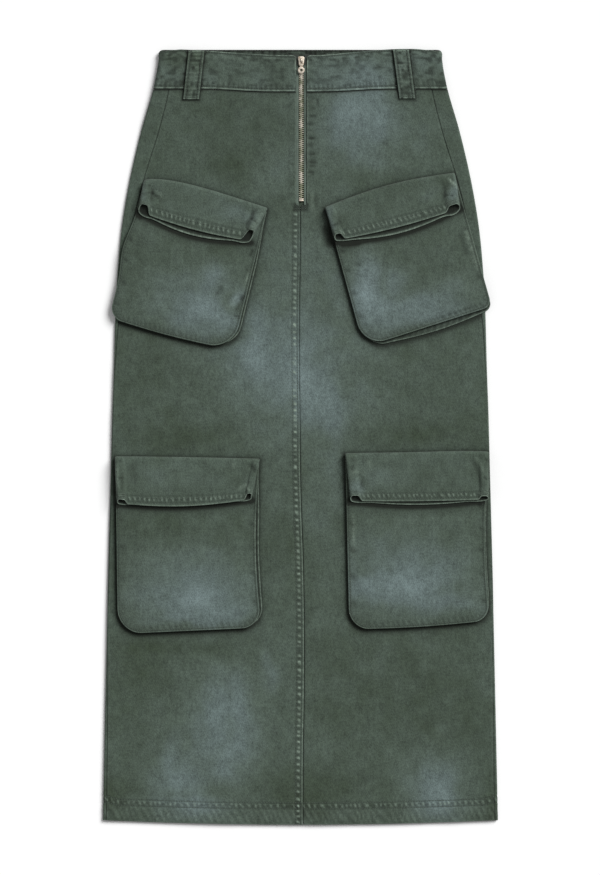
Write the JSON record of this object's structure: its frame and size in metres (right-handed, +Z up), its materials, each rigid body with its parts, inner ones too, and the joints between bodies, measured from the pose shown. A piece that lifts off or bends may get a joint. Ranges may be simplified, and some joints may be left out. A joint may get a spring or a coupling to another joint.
{
  "type": "cargo utility skirt",
  "caption": "Long A-line cotton twill skirt laid flat, with a front zip, a waistband with belt loops and gusseted cargo pockets whose mouths are turned over.",
  "frame": {"origin": "centre of the footprint, on the surface that the skirt lies on", "axes": "+Z up from the surface, +Y from the hem to the waist, +X to the viewer's right when looking down at the front"},
  "size_m": [0.4942, 0.9694, 0.0158],
  "materials": {
    "twill": "garment-dyed, washed and faded cotton twill, matt",
    "zip_tape": "woven tape, matt",
    "zip_metal": "pale gold, satin"
  },
  "bodies": {
    "skirt": {"back": "twill", "front_left": "twill", "front_right": "twill", "waistband": "twill", "belt_loop_front_left": "twill", "belt_loop_front_right": "twill", "belt_loop_back_left": "twill", "belt_loop_back_centre": "twill", "belt_loop_back_right": "twill", "pocket_upper_left_front": "twill", "pocket_upper_left_gusset": "twill", "pocket_upper_left_turnover": "twill", "pocket_upper_right_front": "twill", "pocket_upper_right_gusset": "twill", "pocket_upper_right_turnover": "twill", "pocket_lower_left_front": "twill", "pocket_lower_left_gusset": "twill", "pocket_lower_left_turnover": "twill", "pocket_lower_right_front": "twill", "pocket_lower_right_gusset": "twill", "pocket_lower_right_turnover": "twill", "zip_tape_left": "zip_tape", "zip_tape_right": "zip_tape", "zip_chain": "zip_metal", "zip_bottom_stop": "zip_metal", "zip_slider": "zip_metal"},
    "pull_tab": {"zip_pull_tab": "zip_metal"}
  },
  "joints": [
    {"name": "pull_tab_swing", "type": "hinge", "parent": "skirt", "child": "pull_tab", "pos_m": [0.001, 0.47, 0.0098], "axis": [-1, 0, 0], "range_deg": [0, 175]}
  ]
}
